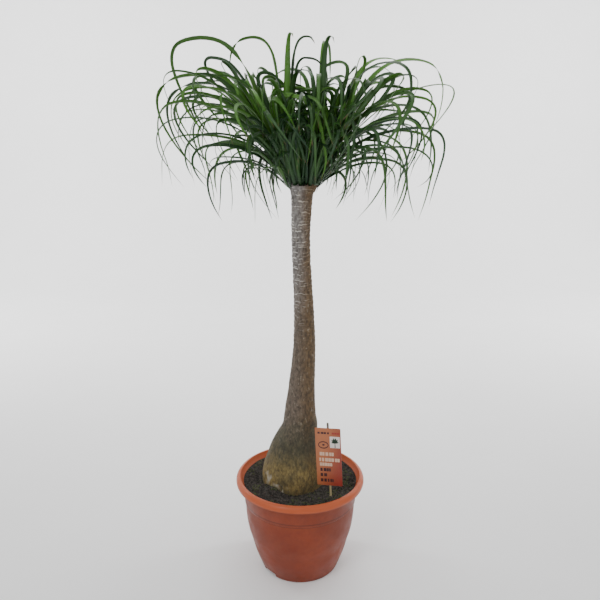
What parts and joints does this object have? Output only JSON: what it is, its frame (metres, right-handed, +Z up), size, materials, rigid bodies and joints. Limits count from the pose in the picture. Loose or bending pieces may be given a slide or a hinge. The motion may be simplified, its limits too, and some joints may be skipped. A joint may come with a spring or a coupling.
{
  "type": "potted ponytail palm",
  "caption": "Young ponytail palm with a swollen trunk base and two heads of arching strap leaves, in a round plastic nursery pot with a plant label.",
  "frame": {"origin": "on the pot's axis, at the floor", "axes": "+Z up; the plant's front faces -Y and its two heads lean apart along X"},
  "size_m": [0.6725, 0.398, 1.353],
  "materials": {
    "pot_plastic": "smooth terracotta-brown moulded plastic, soft satin sheen",
    "soil": "dark moist peat compost with fine fibres and a little moss",
    "bark": "silver-grey ringed bark above, olive-brown finely cracked corky bark on the swollen base",
    "leaf": "smooth deep-green strap leaf, semi-gloss, fine lengthwise veins",
    "label_card": null,
    "cane": "plain round cane, light brown"
  },
  "bodies": {
    "root": {"pot": "pot_plastic", "soil": "soil", "trunk": "bark", "label": "label_card", "label_stake": "cane", "leaf_left_01": "leaf", "leaf_left_02": "leaf", "leaf_left_03": "leaf", "leaf_left_04": "leaf", "leaf_left_05": "leaf", "leaf_left_06": "leaf", "leaf_left_07": "leaf", "leaf_left_08": "leaf", "leaf_left_09": "leaf", "leaf_left_10": "leaf", "leaf_left_11": "leaf", "leaf_left_12": "leaf", "leaf_left_13": "leaf", "leaf_left_14": "leaf", "leaf_left_15": "leaf", "leaf_left_16": "leaf", "leaf_left_17": "leaf", "leaf_left_18": "leaf", "leaf_left_19": "leaf", "leaf_left_20": "leaf", "leaf_left_21": "leaf", "leaf_left_22": "leaf", "leaf_left_23": "leaf", "leaf_left_24": "leaf", "leaf_left_25": "leaf", "leaf_left_26": "leaf", "leaf_left_27": "leaf", "leaf_left_28": "leaf", "leaf_right_01": "leaf", "leaf_right_02": "leaf", "leaf_right_03": "leaf", "leaf_right_04": "leaf", "leaf_right_05": "leaf", "leaf_right_06": "leaf", "leaf_right_07": "leaf", "leaf_right_08": "leaf", "leaf_right_09": "leaf", "leaf_right_10": "leaf", "leaf_right_11": "leaf", "leaf_right_12": "leaf", "leaf_right_13": "leaf", "leaf_right_14": "leaf", "leaf_right_15": "leaf", "leaf_right_16": "leaf", "leaf_right_17": "leaf", "leaf_right_18": "leaf", "leaf_right_19": "leaf", "leaf_right_20": "leaf", "leaf_right_21": "leaf", "leaf_right_22": "leaf", "leaf_right_23": "leaf", "leaf_right_24": "leaf", "leaf_right_25": "leaf", "leaf_right_26": "leaf", "leaf_right_27": "leaf"}
  },
  "joints": []
}
